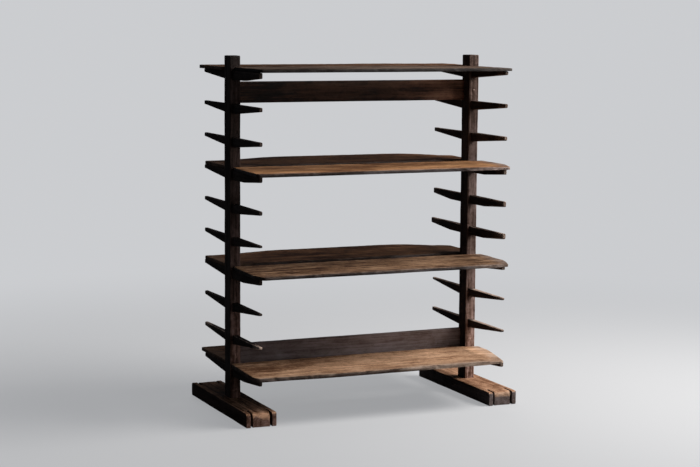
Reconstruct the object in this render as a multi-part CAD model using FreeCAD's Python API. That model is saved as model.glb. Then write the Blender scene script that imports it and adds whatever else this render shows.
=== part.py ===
import FreeCAD, Part
import math
import os
from collections import namedtuple

# Free-standing cheese ripening rack of old hewn timber. Two posts stand on heavy feet and are joined by
# two rails. Ten tapered arms pass through each post, and four pairs of them carry loose boards, one
# board in front of the posts and one behind.
# Millimetres. X runs along the rack, +X to the right seen from the front. The front faces -Y, +Z is up.
# The origin is on the floor, midway between the posts.

# Posts
POST_SPACING = 1262.0         # between the centres of the two posts
POST_WIDTH = 54.0             # along the rack
POST_DEPTH = 80.0             # front to back
POST_ABOVE_ARMS = 70.0        # post above the top of the highest arm
POST_EDGE = 3.0               # rounding of the long edges
POST_TENON_WIDTH = 30.0
POST_TENON_DEPTH = 48.0
POST_TENON_LENGTH = 50.0      # into the foot

# Feet
FOOT_LENGTH = 784.0
FOOT_WIDTH = 152.0
FOOT_HEIGHT = 68.0
FOOT_EDGE = 4.0               # worn slope along the upper edges and the upright corners of the long sides
FOOT_NOSE = 20.0              # worn rounding of the ends, along the top
FOOT_CHEEK = 24.0             # timber outside each slot
SLOT_WIDTH = 9.0
SLOT_LENGTH = 72.0            # from the end of the foot to the middle of the slot's drilled end
SLOT_HOLE = 13.0              # diameter of the drilled end

# Arms
ARM_COUNT = 10
LOWEST_ARM_RISE = 147.2       # from the top of the foot to the top of the lowest arm
ARM_PITCH = 157.2             # from one arm's top to the next
ARM_DEPTH = 43.0              # at the post
ARM_THICKNESS = 28.0          # at the post
ARM_TIP_THICKNESS = 18.0
ARM_REACH = 378.0             # from the post's centre to either tip
LONG_ARM_EXTRA = 22.0         # added to the rear reach of the long arms
ARM_TIP_ROUND = 7.0           # lower corner of a tip
BLUNT_TIP_DEPTH = 27.0
BLUNT_RUN = 140.0             # how far the underside stays at full depth past the post
MEDIUM_TIP_DEPTH = 20.0
MEDIUM_RUN = 45.0
TAPERED_TIP_DEPTH = 19.0
SLENDER_TIP_DEPTH = 12.0
SHORT_RUN = 4.0               # of tapered and slender ends, which rise straight from the post

# Rails
RAIL_HEIGHT = 102.0
RAIL_THICKNESS = 24.0
RAIL_LIFT = 2.0               # above the top of the arm under it
RAIL_EDGE = 3.0
RAIL_TENON_LENGTH = 36.0
RAIL_TENON_THICKNESS = 15.0
RAIL_TENON_SHOULDER = 12.0    # taken off the rail's height above and below the tenon

# Pegs
RAIL_PEG_DIAMETER = 11.0
RAIL_PEG_PROUD = 1.5          # head left standing out of the post
RAIL_PEG_BEYOND = 2.0         # past the tenon, into the post's rear wall
FOOT_PEG_DIAMETER = 14.0
FOOT_PEG_DROP = 30.0          # below the top of the foot

# Boards
BOARD_THICKNESS = 18.0
HEAVY_BOARD_THICKNESS = 22.0  # front board of the lowest shelf
BOARD_EDGE = 4.0              # worn slope along the upper and lower edges
BOARD_CORNER = 14.0           # rounding of the square corners in plan
BOARD_TO_POST = 2.0           # gap between a board and the posts
TOP_BOARD_REACH = 400.0       # front board of the top shelf, from the posts' centre line to its outer edge
MIDDLE_BOARD_REACH = 425.0    # front boards of the two middle shelves
LOW_BOARD_REACH = 440.0       # both boards of the lowest shelf
REAR_BOARD_REACH = 380.0      # the other rear boards

# How far the boards' ends stand past the centre of the post
END_OVERHANG = 37.0           # both ends of the top rear board, right end of the top front board
SHORT_OVERHANG = 10.0         # left ends of the top front board and of the lower rear boards
MIDDLE_LEFT_OVERHANG = 34.0   # front boards of the two middle shelves
MIDDLE_RIGHT_OVERHANG = 54.0
LOW_OVERHANG = 46.0           # both ends of the lowest front board
REAR_LONG_OVERHANG = 70.0     # right end of the lower rear boards, which lie shifted to the right
END_LEAN = 20.0               # a leaning left end's drift from the inner edge out to the outer one

# Worn right corners of the front boards, along the board's end and along its outer edge
TOP_CORNER_END = 70.0
TOP_CORNER_EDGE = 15.0
MIDDLE_CORNER_END = 145.0
MIDDLE_CORNER_EDGE = 49.0
LOW_CORNER_END = 290.0
LOW_CORNER_EDGE = 67.0
WORN_CORNER_ROUND = 300.0     # rounding where a worn corner leaves the end

# Clearances
JOINT_CLEARANCE = 0.1         # on each side of a tenon, a through arm or a peg
MORTISE_END_CLEARANCE = 2.0   # beyond the end of a tenon
SEAT_GAP = 0.2                # between a loose board and the arms under it
SAME_PLACE = 0.001            # lengths that differ by less count as equal

# Shapes of the arms' ends, from the top arm down
ArmEnd = namedtuple("ArmEnd", "tip_depth full_depth_run")
BLUNT = ArmEnd(BLUNT_TIP_DEPTH, BLUNT_RUN)
MEDIUM = ArmEnd(MEDIUM_TIP_DEPTH, MEDIUM_RUN)
TAPERED = ArmEnd(TAPERED_TIP_DEPTH, SHORT_RUN)
SLENDER = ArmEnd(SLENDER_TIP_DEPTH, SHORT_RUN)
FRONT_ENDS = {
    "left": (BLUNT, MEDIUM, MEDIUM, BLUNT, MEDIUM, SLENDER, BLUNT, SLENDER, SLENDER, BLUNT),
    "right": (TAPERED, MEDIUM, MEDIUM, BLUNT, BLUNT, BLUNT, MEDIUM, SLENDER, SLENDER, BLUNT),
}
REAR_ENDS = {
    "left": (TAPERED,) * ARM_COUNT,
    "right": (TAPERED, TAPERED, TAPERED, TAPERED, BLUNT, BLUNT, TAPERED, SLENDER, TAPERED, TAPERED),
}
LONG_ARMS = (("right", 1), ("right", 6))

# Arms that carry a shelf, and arms above which a rail sits, counted from the top
SHELF_ARMS = (1, 4, 7, 10)
RAIL_ARMS = {"top_rail": SHELF_ARMS[0] + 1, "bottom_rail": SHELF_ARMS[-1]}

# Boards from the top shelf down. A rear board is made as a front one and turned round, so that its right
# end lies at the left of the rack.
Board = namedtuple("Board", "reach thickness left right lean corner_end corner_edge")
FRONT_BOARDS = (
    Board(TOP_BOARD_REACH, BOARD_THICKNESS, SHORT_OVERHANG, END_OVERHANG, 0,
          TOP_CORNER_END, TOP_CORNER_EDGE),
    Board(MIDDLE_BOARD_REACH, BOARD_THICKNESS, MIDDLE_LEFT_OVERHANG, MIDDLE_RIGHT_OVERHANG, END_LEAN,
          MIDDLE_CORNER_END, MIDDLE_CORNER_EDGE),
    Board(MIDDLE_BOARD_REACH, BOARD_THICKNESS, MIDDLE_LEFT_OVERHANG, MIDDLE_RIGHT_OVERHANG, END_LEAN,
          MIDDLE_CORNER_END, MIDDLE_CORNER_EDGE),
    Board(LOW_BOARD_REACH, HEAVY_BOARD_THICKNESS, LOW_OVERHANG, LOW_OVERHANG, END_LEAN,
          LOW_CORNER_END, LOW_CORNER_EDGE),
)
REAR_BOARDS = (
    Board(REAR_BOARD_REACH, BOARD_THICKNESS, END_OVERHANG, END_OVERHANG, 0, 0, 0),
    Board(REAR_BOARD_REACH, BOARD_THICKNESS, REAR_LONG_OVERHANG, SHORT_OVERHANG, 0, 0, 0),
    Board(REAR_BOARD_REACH, BOARD_THICKNESS, REAR_LONG_OVERHANG, SHORT_OVERHANG, 0, 0, 0),
    Board(LOW_BOARD_REACH, BOARD_THICKNESS, REAR_LONG_OVERHANG, SHORT_OVERHANG, 0, 0, 0),
)

# Places worked out from the sizes
POST_X = {"left": -POST_SPACING / 2, "right": POST_SPACING / 2}
LOWEST_ARM_TOP = FOOT_HEIGHT + LOWEST_ARM_RISE
POST_TOP = LOWEST_ARM_TOP + (ARM_COUNT - 1) * ARM_PITCH + POST_ABOVE_ARMS
RAIL_FRONT = POST_DEPTH / 2 - RAIL_THICKNESS
FOOT_PEG_HEIGHT = FOOT_HEIGHT - FOOT_PEG_DROP


def arm_top(level):
    """Height of an arm's level top edge, with arms counted from the top."""
    return LOWEST_ARM_TOP + (ARM_COUNT - level) * ARM_PITCH


def rail_bottom(rail):
    return arm_top(RAIL_ARMS[rail]) + RAIL_LIFT


def rail_middle(rail):
    return rail_bottom(rail) + RAIL_HEIGHT / 2


def block(x, y, bottom, width, depth, height):
    """Box centred on x and y that stands on the height bottom."""
    corner = FreeCAD.Vector(x - width / 2, y - depth / 2, bottom)
    return Part.makeBox(width, depth, height, corner)


def rod(start, direction, diameter, length):
    return Part.makeCylinder(diameter / 2, length, start, direction)


def edges_along(edges, axis):
    """Those of the edges that run straight along an axis."""
    found = []
    for edge in edges:
        along = edge.Vertexes[-1].Point - edge.Vertexes[0].Point
        if along.cross(axis).Length < SAME_PLACE < along.Length:
            found.append(edge)
    return found


def edges_at_height(edges, height):
    """Those of the edges that lie level at a height."""
    return [edge for edge in edges
            if abs(edge.BoundBox.ZMin - height) < SAME_PLACE
            and abs(edge.BoundBox.ZMax - height) < SAME_PLACE]


def rounded_face(corners):
    """Flat face whose corners, given as (point, radius) in order, are rounded by tangent arcs.

    A radius of 0 leaves the corner sharp.
    """
    bends = []
    for index, (point, radius) in enumerate(corners):
        back = (corners[index - 1][0] - point).normalize()
        ahead = (corners[(index + 1) % len(corners)][0] - point).normalize()
        half_angle = back.getAngle(ahead) / 2
        set_back = radius / math.tan(half_angle)
        bulge = radius / math.sin(half_angle) - radius
        middle = point + (back + ahead).normalize() * bulge
        bends.append((point + back * set_back, middle, point + ahead * set_back))
    edges = []
    for index, (start, middle, end) in enumerate(bends):
        if corners[index][1] > 0:
            edges.append(Part.Arc(start, middle, end).toShape())
        edges.append(Part.LineSegment(end, bends[(index + 1) % len(bends)][0]).toShape())
    return Part.Face(Part.Wire(edges))


def arm_rear_reach(side, level):
    if (side, level) in LONG_ARMS:
        return ARM_REACH + LONG_ARM_EXTRA
    return ARM_REACH


def arm_side_view(side, level):
    """Solid with the arm's outline seen from the side: level on top, rising below to both tips."""
    front_end = FRONT_ENDS[side][level - 1]
    rear_end = REAR_ENDS[side][level - 1]
    top = arm_top(level)
    front = -ARM_REACH
    rear = arm_rear_reach(side, level)
    x = POST_X[side] - ARM_THICKNESS / 2
    outline = (
        (FreeCAD.Vector(x, front, top), 0),
        (FreeCAD.Vector(x, rear, top), 0),
        (FreeCAD.Vector(x, rear, top - rear_end.tip_depth), ARM_TIP_ROUND),
        (FreeCAD.Vector(x, POST_DEPTH / 2 + rear_end.full_depth_run, top - ARM_DEPTH), 0),
        (FreeCAD.Vector(x, -POST_DEPTH / 2 - front_end.full_depth_run, top - ARM_DEPTH), 0),
        (FreeCAD.Vector(x, front, top - front_end.tip_depth), ARM_TIP_ROUND),
    )
    return rounded_face(outline).extrude(FreeCAD.Vector(ARM_THICKNESS, 0, 0))


def arm_plan(side, level):
    """Solid with the arm's outline seen from above: full thickness in the post, thinner at the tips."""
    x = POST_X[side]
    bottom = arm_top(level) - ARM_DEPTH
    shoulder = POST_DEPTH / 2
    stations = (
        (-ARM_REACH, ARM_TIP_THICKNESS / 2),
        (-shoulder, ARM_THICKNESS / 2),
        (shoulder, ARM_THICKNESS / 2),
        (arm_rear_reach(side, level), ARM_TIP_THICKNESS / 2),
    )
    outline = [FreeCAD.Vector(x + half, y, bottom) for y, half in stations]
    outline += [FreeCAD.Vector(x - half, y, bottom) for y, half in reversed(stations)]
    face = Part.Face(Part.makePolygon(outline + outline[:1]))
    return face.extrude(FreeCAD.Vector(0, 0, ARM_DEPTH))


def make_arm(side, level):
    return arm_side_view(side, level).common(arm_plan(side, level))


def arm_mortise(side, level):
    """Hole through the post from front to back. The arm rests on its floor."""
    width = ARM_THICKNESS + 2 * JOINT_CLEARANCE
    height = ARM_DEPTH + JOINT_CLEARANCE
    return block(POST_X[side], 0, arm_top(level) - ARM_DEPTH, width, POST_DEPTH, height)


def rail_tenon(side, rail, clearance, end_clearance):
    """Tenon at one end of a rail, level with the rail's front, or its mortise with clearances."""
    inward = 1 if side == "left" else -1
    face = POST_X[side] + inward * POST_WIDTH / 2
    length = RAIL_TENON_LENGTH + end_clearance
    height = RAIL_HEIGHT - 2 * RAIL_TENON_SHOULDER + 2 * clearance
    thickness = RAIL_TENON_THICKNESS + 2 * clearance
    return block(face - inward * length / 2, RAIL_FRONT + RAIL_TENON_THICKNESS / 2,
                 rail_bottom(rail) + RAIL_TENON_SHOULDER - clearance, length, thickness, height)


def rail_peg(side, rail, clearance):
    """Peg driven from the front of the post through the tenon, or its hole with a clearance."""
    front = -POST_DEPTH / 2 - RAIL_PEG_PROUD
    length = RAIL_FRONT + RAIL_TENON_THICKNESS + RAIL_PEG_BEYOND - front
    start = FreeCAD.Vector(POST_X[side], front, rail_middle(rail))
    return rod(start, FreeCAD.Vector(0, 1, 0), RAIL_PEG_DIAMETER + 2 * clearance, length + clearance)


def make_rail(rail):
    shoulder_to_shoulder = POST_SPACING - POST_WIDTH
    body = block(0, RAIL_FRONT + RAIL_THICKNESS / 2, rail_bottom(rail),
                 shoulder_to_shoulder, RAIL_THICKNESS, RAIL_HEIGHT)
    body = body.makeFillet(RAIL_EDGE, edges_along(body.Edges, FreeCAD.Vector(1, 0, 0)))
    for side in POST_X:
        body = body.fuse(rail_tenon(side, rail, 0, 0))
    for side in POST_X:
        body = body.cut(rail_peg(side, rail, JOINT_CLEARANCE))
    return body.removeSplitter()


def post_tenon(side, clearance, end_clearance):
    """Tenon under the post, or its mortise in the foot with clearances."""
    length = POST_TENON_LENGTH + end_clearance
    return block(POST_X[side], 0, FOOT_HEIGHT - length,
                 POST_TENON_WIDTH + 2 * clearance, POST_TENON_DEPTH + 2 * clearance, length)


def foot_peg(side, clearance):
    """Peg driven across the foot through the post's tenon, or its hole with a clearance."""
    start = FreeCAD.Vector(POST_X[side] - FOOT_WIDTH / 2, 0, FOOT_PEG_HEIGHT)
    return rod(start, FreeCAD.Vector(1, 0, 0), FOOT_PEG_DIAMETER + 2 * clearance, FOOT_WIDTH)


def make_post(side):
    post = block(POST_X[side], 0, FOOT_HEIGHT, POST_WIDTH, POST_DEPTH, POST_TOP - FOOT_HEIGHT)
    post = post.makeFillet(POST_EDGE, edges_along(post.Edges, FreeCAD.Vector(0, 0, 1)))
    post = post.fuse(post_tenon(side, 0, 0))
    cuts = [foot_peg(side, JOINT_CLEARANCE)]
    for level in range(1, ARM_COUNT + 1):
        cuts.append(arm_mortise(side, level))
    for rail in RAIL_ARMS:
        cuts.append(rail_tenon(side, rail, JOINT_CLEARANCE, MORTISE_END_CLEARANCE))
        cuts.append(rail_peg(side, rail, JOINT_CLEARANCE))
    return post.cut(cuts).removeSplitter()


def foot_slot(side, across, end):
    """Sawn slot from one end of the foot to a drilled hole. Across and end are -1 or +1."""
    x = POST_X[side] + across * (FOOT_WIDTH / 2 - FOOT_CHEEK - SLOT_WIDTH / 2)
    inner = end * (FOOT_LENGTH / 2 - SLOT_LENGTH)
    saw_cut = block(x, inner + end * SLOT_LENGTH / 2, 0, SLOT_WIDTH, SLOT_LENGTH, FOOT_HEIGHT)
    hole = rod(FreeCAD.Vector(x, inner, 0), FreeCAD.Vector(0, 0, 1), SLOT_HOLE, FOOT_HEIGHT)
    return saw_cut.fuse(hole)


def foot_blank(side):
    """Foot before its slots and holes: its upper ends rounded, the edges of its long sides sloped."""
    x = POST_X[side] - FOOT_WIDTH / 2
    end = FOOT_LENGTH / 2
    outline = (
        (FreeCAD.Vector(x, -end, 0), 0),
        (FreeCAD.Vector(x, -end, FOOT_HEIGHT), FOOT_NOSE),
        (FreeCAD.Vector(x, end, FOOT_HEIGHT), FOOT_NOSE),
        (FreeCAD.Vector(x, end, 0), 0),
    )
    blank = rounded_face(outline).extrude(FreeCAD.Vector(FOOT_WIDTH, 0, 0))
    across = edges_along(blank.Edges, FreeCAD.Vector(1, 0, 0))
    level = edges_at_height(blank.Edges, 0)
    rims = [edge for edge in blank.Edges if not any(edge.isSame(other) for other in across + level)]
    return blank.makeChamfer(FOOT_EDGE, rims)


def make_foot(side):
    cuts = [foot_slot(side, across, end) for across in (-1, 1) for end in (-1, 1)]
    cuts.append(post_tenon(side, JOINT_CLEARANCE, MORTISE_END_CLEARANCE))
    cuts.append(foot_peg(side, JOINT_CLEARANCE))
    return foot_blank(side).cut(cuts).removeSplitter()


def make_board(board, level, turned):
    """Loose board on the arms of one level. A turned board lies behind the posts."""
    bottom = arm_top(level) + SEAT_GAP
    inner = -(POST_DEPTH / 2 + BOARD_TO_POST)
    outer = -board.reach
    left = -(POST_SPACING / 2 + board.left)
    right = POST_SPACING / 2 + board.right
    plan = [(left + board.lean, inner, BOARD_CORNER), (left, outer, BOARD_CORNER),
            (right - board.corner_edge, outer, BOARD_CORNER), (right, inner, BOARD_CORNER)]
    if board.corner_end > 0:
        plan.insert(3, (right, outer + board.corner_end, WORN_CORNER_ROUND))
    turn = -1 if turned else 1
    corners = [(FreeCAD.Vector(turn * x, turn * y, bottom), radius) for x, y, radius in plan]
    slab = rounded_face(corners).extrude(FreeCAD.Vector(0, 0, board.thickness))
    rims = edges_at_height(slab.Edges, bottom) + edges_at_height(slab.Edges, bottom + board.thickness)
    return slab.makeChamfer(BOARD_EDGE, rims)


def make_rack():
    """All the pieces by name. Pegs of one kind are grouped."""
    pieces = {}
    for side in POST_X:
        pieces[f"{side}_post"] = make_post(side)
        pieces[f"{side}_foot"] = make_foot(side)
        for level in range(1, ARM_COUNT + 1):
            pieces[f"{side}_arm_{level}"] = make_arm(side, level)
    for rail in RAIL_ARMS:
        pieces[rail] = make_rail(rail)
    pieces["rail_pegs"] = Part.Compound([rail_peg(side, rail, 0) for side in POST_X for rail in RAIL_ARMS])
    pieces["foot_pegs"] = Part.Compound([foot_peg(side, 0) for side in POST_X])
    for number, level in enumerate(SHELF_ARMS, start=1):
        pieces[f"shelf_{number}_front_board"] = make_board(FRONT_BOARDS[number - 1], level, turned=False)
        pieces[f"shelf_{number}_rear_board"] = make_board(REAR_BOARDS[number - 1], level, turned=True)
    return pieces


os.makedirs("parts", exist_ok=True)
for name, shape in make_rack().items():
    shape.exportStep(f"parts/{name}.step")
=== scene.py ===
import itertools
import math
from collections import namedtuple

import bmesh
import bpy
import numpy as np
from mathutils import Matrix, Vector


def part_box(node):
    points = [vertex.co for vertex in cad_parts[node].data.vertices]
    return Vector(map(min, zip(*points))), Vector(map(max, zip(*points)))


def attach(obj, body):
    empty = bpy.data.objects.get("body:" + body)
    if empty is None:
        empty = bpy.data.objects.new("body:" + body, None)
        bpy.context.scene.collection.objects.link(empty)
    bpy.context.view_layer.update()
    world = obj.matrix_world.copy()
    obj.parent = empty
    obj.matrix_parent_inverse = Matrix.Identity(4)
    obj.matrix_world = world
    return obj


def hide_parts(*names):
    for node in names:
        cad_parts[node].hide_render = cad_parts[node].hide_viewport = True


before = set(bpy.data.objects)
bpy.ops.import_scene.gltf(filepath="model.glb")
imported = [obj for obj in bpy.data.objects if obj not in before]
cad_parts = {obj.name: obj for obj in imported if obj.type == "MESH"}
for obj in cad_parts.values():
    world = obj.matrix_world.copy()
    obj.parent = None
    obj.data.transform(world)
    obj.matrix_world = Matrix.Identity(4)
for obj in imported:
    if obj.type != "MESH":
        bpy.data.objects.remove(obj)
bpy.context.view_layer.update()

# Old hewn timber rack: two posts on slotted feet, two rails, twenty arms through the posts and four
# shelves of two loose boards. Metres. X runs along the rack, the front faces -Y and +Z is up.

# Sides and counts
SIDES = ("left", "right")
ARM_LEVELS = range(1, 11)
SHELVES = range(1, 5)
RAILS = ("top_rail", "bottom_rail")

# Posts
POST_EDGE = 0.0035
POST_STEP = 0.008    # between the rings of a post
POST_FRONT_STEP = 0.006    # between the points across its front
POST_SIDE_STEP = 0.007
POST_TOP_ROUND = 0.004
POST_TOP_RINGS = (0.0012, 0.0030)    # heights of two more rings in the rounded top
POST_TENON_HALF = (0.015, 0.024)
POST_TENON_END = 0.018    # height of the tenon's end above the floor
POST_TENON_STEP = 0.02
POST_HEW = 0.0008    # how deep the tool marks go
POST_WEAR = 0.0018    # how far the long edges are worn back
POST_ROUGH = 0.0008    # unevenness of the sawn ends
POST_CRACKS = (-0.0195, 0.0185)    # places of the drying cracks across a front face
SIDE_CRACKS = (-0.017, 0.002)    # and across a side face
CRACK_HALF_WIDTH = 0.0011
CRACK_DEPTH = 0.007
CRACK_RUN = 0.20    # length of the stretches in which a crack opens
CRACK_WANDER = 0.0022    # how far it wanders, and over what length
CRACK_WANDER_RUN = 0.09

# Joints, with the clearance on each side
FIT = 0.0001
RAIL_TENON_THICKNESS = 0.015
RAIL_TENON_SHOULDER = 0.012
RAIL_TENON_LENGTH = 0.036
MORTISE_END = 0.002
RAIL_PEG_HALF = 0.0055
FOOT_PEG_RADIUS = 0.007
FOOT_PEG_HEIGHT = 0.038
PEG_ROUGH = 0.0003

# Arms: depth of the tip, and how far the underside stays at full depth past the post
ArmEnd = namedtuple("ArmEnd", "tip_depth full_run")
BLUNT = ArmEnd(0.027, 0.140)
MEDIUM = ArmEnd(0.020, 0.045)
TAPERED = ArmEnd(0.019, 0.004)
SLENDER = ArmEnd(0.012, 0.004)
FRONT_ENDS = {
    "left": (BLUNT, MEDIUM, MEDIUM, BLUNT, MEDIUM, SLENDER, BLUNT, SLENDER, SLENDER, BLUNT),
    "right": (TAPERED, MEDIUM, MEDIUM, BLUNT, BLUNT, BLUNT, MEDIUM, SLENDER, SLENDER, BLUNT),
}
REAR_ENDS = {
    "left": (TAPERED,) * len(ARM_LEVELS),
    "right": (TAPERED, TAPERED, TAPERED, TAPERED, BLUNT, BLUNT, TAPERED, SLENDER, TAPERED, TAPERED),
}
PALE_TIPPED = {("left", 9)}    # arms of the darker side with pale worn tips, made paler still as painted light
RUBBED_TOPS = {("right", 8), ("right", 9)}    # arms with pale tops in front of the post
ARM_TIP_HALF = 0.009    # half the thickness at the tips
ARM_TIP_ROUND = 0.005
ARM_TIP_TOP = 0.4    # shares of that rounding on top and at the sides
ARM_TIP_SIDE = 0.5
ARM_TIP_RINGS = (0.0008, 0.002, 0.004, 0.007)    # distances of more rings from the tips
ARM_TIP_RUN = (0.22, 0.39)    # where the worn tips begin and end, from the middle
ARM_TIP_WEAR = 0.55
ARM_FREE = (0.001, 0.020)    # where the tool marks begin, from the post
RUBBED_FROM = (0.05, 0.08)    # where the pale tops begin, from the middle
ARM_EDGE = 0.003
ARM_HEW = 0.0006
ARM_WEAR = 0.0015    # how far the edges are worn back towards the tips
ARM_ROUGH = 0.0007
ARM_STEP = 0.008

# Rails
RAIL_EDGE = 0.003
RAIL_STEP = 0.009
RAIL_RING_STEP = 0.13    # between the points up its faces, in halves of its height
RAIL_HEW = 0.0008
SHOULDER_HEW = 0.3    # share of the tool marks at the shoulders
RAIL_WEAR = 0.0016
RAIL_ROUGH = 0.0003

# Boards
BOARD_INSET = 0.005    # width of the worn rim round a board
BOARD_CORNER = 0.014
TIP_ROUND = 0.007    # rounding where a worn corner meets the outer edge
BOARD_STEP = 0.009    # between points along a board
BOARD_ROW = 0.013    # and across it
EDGE_ROWS = (0.001, 0.0035, 0.008, 0.014)    # distances of more rows from the edges
END_COLUMNS = (0.002, 0.006, 0.012, 0.020)    # and of more columns from the ends
CRACK_SHARES = (0.27, 0.58, 0.83)    # places of the end cracks across a board

# Shape of a board: the lean of the left end, worn corners along the end and along the outer edge, thinning of
# the right end, inward slope of the outer edge towards its left end, raggedness, relief of the worn upper
# face, how far the outer edge is rubbed from the right end, rounding of the left outer corner and how much
# longer it is along the edge, how far the outer edge has cupped up, and thinning of the left end
BoardShape = namedtuple(
    "BoardShape",
    "lean right_end right_edge left_end left_edge thin slope chipping relief rub "
    "rounding stretch cup left_thin",
    defaults=(BOARD_CORNER - BOARD_INSET, 1.0, 0.0, 0.0))
FRONT_SHAPES = (
    BoardShape(0.0, 0.070, 0.015, BOARD_CORNER, 0.0, 0.003, 0.001, 0.4, 0.0005, 0.25),
    BoardShape(0.020, 0.145, 0.049, BOARD_CORNER, 0.0, 0.002, 0.001, 0.6, 0.0007, 0.40),
    BoardShape(0.020, 0.145, 0.049, 0.080, 0.027, 0.002, 0.002, 0.7, 0.0008, 0.40),
    BoardShape(0.020, 0.290, 0.067, 0.040, 0.014, 0.006, 0.016, 1.4, 0.0011, 0.80),
)
REAR_SHAPE = BoardShape(0.0, BOARD_CORNER, 0.0, BOARD_CORNER, 0.0, 0.0, 0.003, 0.4, 0.0006, 0.20)
CUPPED_SHAPE = REAR_SHAPE._replace(rounding=0.055, stretch=3.0, cup=0.0100, left_thin=0.0040)
REAR_SHAPES = (REAR_SHAPE, CUPPED_SHAPE, CUPPED_SHAPE, REAR_SHAPE)
RUBBED_END = 0.85    # wear of the boards' right ends
RUBBED_EDGE = 0.50    # and of a strip of their upper faces along the outer edge

# Waves along a board's outer edge and along its ends: depth and length
EDGE_WAVES = ((0.0034, 0.17), (0.0020, 0.045))
END_WAVES = ((0.004, 0.11), (0.002, 0.025))

# Layers of noise: the strength and the size of each
BOARD_RELIEF = ((0.6, (0.022, 0.048, 1)), (0.4, (0.09, 0.03, 1)))
RIM_CHIPS = ((1.0, (0.032, 0.05, 1)), (0.5, (0.011, 0.05, 1)))
FOOT_MARKS = ((0.7, (0.035, 0.16, 0.03)), (0.3, (0.011, 0.04, 0.012)))

# Feet
FOOT_VOXEL = 0.0034
FOOT_CHEEK = 0.024
BLOCK_NOSE = {"left": 0.027, "right": 0.017}    # rounding of the ends' tops, between the slots
CHEEK_NOSE = {"left": 0.021, "right": 0.014}    # and on the cheeks
CHEEK_PROUD = 0.003    # how far the cheeks stand past the block between the slots
SLOT_WIDTH = 0.009
SLOT_LENGTH = 0.072
SLOT_HOLE = 0.0068    # radius of the drilled end
FOOT_HEW = 0.0011
FOOT_WEAR = 0.0038
FOOT_UPPER = (0.030, 0.066)    # heights between which the wear of the edges grows
FOOT_SEAT = (0.045, 0.070)    # where the tool marks begin, from the post's middle
FOOT_FRAY = 0.014    # how uneven the lower limit of the rubbed ends is
FOOT_RUB = (0.016, 0.036)    # where they fade, from the top
PROUD_RUN = 0.07    # how far from the ends the cheeks stand proud
SLOT_BLEND = 0.002
PAINTED_SIDE_SHADE = {"left": 0.75, "right": 0.0}    # painted shade: how much darker the feet are painted on the side away from the light
SHARP_ANGLE = math.radians(42)

# Painted light and shade: how the colour is lightened or darkened along and across a piece to stand in for
# the light on it, apart from its sides in painted shade and sawn edges: the axis, places in metres and shares
# of the colour
Fade = namedtuple("Fade", "axis places shares")
FRONT_ROWS = (-0.42, -0.36, -0.30, -0.20, -0.06)
REAR_PAINTED_LIGHT = Fade(1, (0.08, 0.35), (0.85, 1.25))
PAINTED_LIGHT_FADES = {
    "left_post": [
        Fade(2, (0.07, 0.40, 0.63, 1.08, 1.30, 1.53, 1.68), (3.6, 3.4, 1.4, 0.95, 0.60, 0.70, 0.22))],
    "right_post": [
        Fade(2, (0.07, 0.30, 0.42, 0.64, 1.00, 1.27, 1.50), (3.0, 2.6, 1.8, 0.82, 0.68, 0.44, 0.80))],
    "left_foot": [Fade(1, (-0.39, -0.36, -0.31, -0.20, 0.0, 0.39), (1.2, 1.4, 2.2, 1.2, 0.7, 0.45))],
    "top_rail": [Fade(0, (-0.60, 0.15, 0.60), (0.74, 0.68, 2.0))],
    "bottom_rail": [
        Fade(0, (-0.60, -0.35, -0.10, 0.05, 0.35, 0.60), (0.95, 1.15, 1.65, 1.7, 1.4, 1.15))],
    "shelf_1_front_board": [Fade(0, (-0.65, 0.20, 0.50), (0.95, 1.0, 1.25))],
    "shelf_1_rear_board": [Fade(0, (-0.60, 0.20, 0.50), (1.0, 1.1, 1.45))],
    "shelf_2_front_board": [
        Fade(0, (-0.65, 0.10, 0.40, 0.56, 0.64), (1.10, 0.96, 0.84, 0.82, 0.66)),
        Fade(1, FRONT_ROWS, (1.2, 1.12, 0.92, 0.92, 1.12))],
    "shelf_2_rear_board": [Fade(0, (-0.60, 0.0, 0.35), (0.90, 1.0, 0.88)), REAR_PAINTED_LIGHT],
    "shelf_3_front_board": [
        Fade(0, (-0.65, 0.10, 0.50, 0.64), (1.20, 0.98, 0.84, 0.72)),
        Fade(1, (-0.42, -0.30, -0.18, -0.06), (0.88, 1.0, 1.02, 1.22))],
    "shelf_3_rear_board": [
        Fade(0, (-0.60, -0.25, 0.0, 0.24, 0.42, 0.56), (1.75, 1.6, 1.18, 1.04, 0.82, 0.44)), REAR_PAINTED_LIGHT],
    "shelf_4_front_board": [
        Fade(0, (-0.65, -0.25, 0.10, 0.30, 0.44, 0.60), (1.04, 1.12, 1.06, 1.0, 0.95, 0.94)),
        Fade(1, FRONT_ROWS, (0.72, 0.85, 1.0, 1.05, 1.22))],
}
PAINTED_LIGHT_FADES.update({f"{side}_rail_pegs": PAINTED_LIGHT_FADES[f"{side}_post"] for side in SIDES})


# Noise and small helpers

def lattice(cell, seed):
    """Repeatable values from 0 to 1 at the whole-number points of a lattice."""
    mixed = cell[..., 0] * 73856093 ^ cell[..., 1] * 19349663 ^ cell[..., 2] * 83492791
    mixed = mixed ^ (seed * 2654435761 % 2**31)
    mixed = ((mixed ^ (mixed >> 13)) & 0xFFFFFFFF) * 1274126177 & 0xFFFFFFFF
    mixed = mixed ^ (mixed >> 16)
    return (mixed & 0xFFFF) / 0xFFFF


def noise(points, size, seed):
    """Smooth noise from -1 to 1 with features about as large as size."""
    scaled = points / np.asarray(size)
    cell = np.floor(scaled).astype(np.int64)
    part = scaled - cell
    part = part * part * (3 - 2 * part)
    total = np.zeros(points.shape[:-1])
    for corner in np.ndindex(2, 2, 2):
        weight = np.where(corner, part, 1 - part).prod(axis=-1)
        total += weight * lattice(cell + np.array(corner), seed)
    return 2 * total - 1


def line_noise(places, size, seed):
    """Noise along one line."""
    places = np.asarray(places, float)
    points = np.zeros(places.shape + (3,))
    points[..., 0] = places
    points[..., 1] = seed * 0.37
    return noise(points, (size, 1, 1), seed)


def ease(value, low, high):
    """0 below low, 1 above high, smooth between them."""
    part = np.clip((value - low) / (high - low), 0, 1)
    return part * part * (3 - 2 * part)


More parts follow.
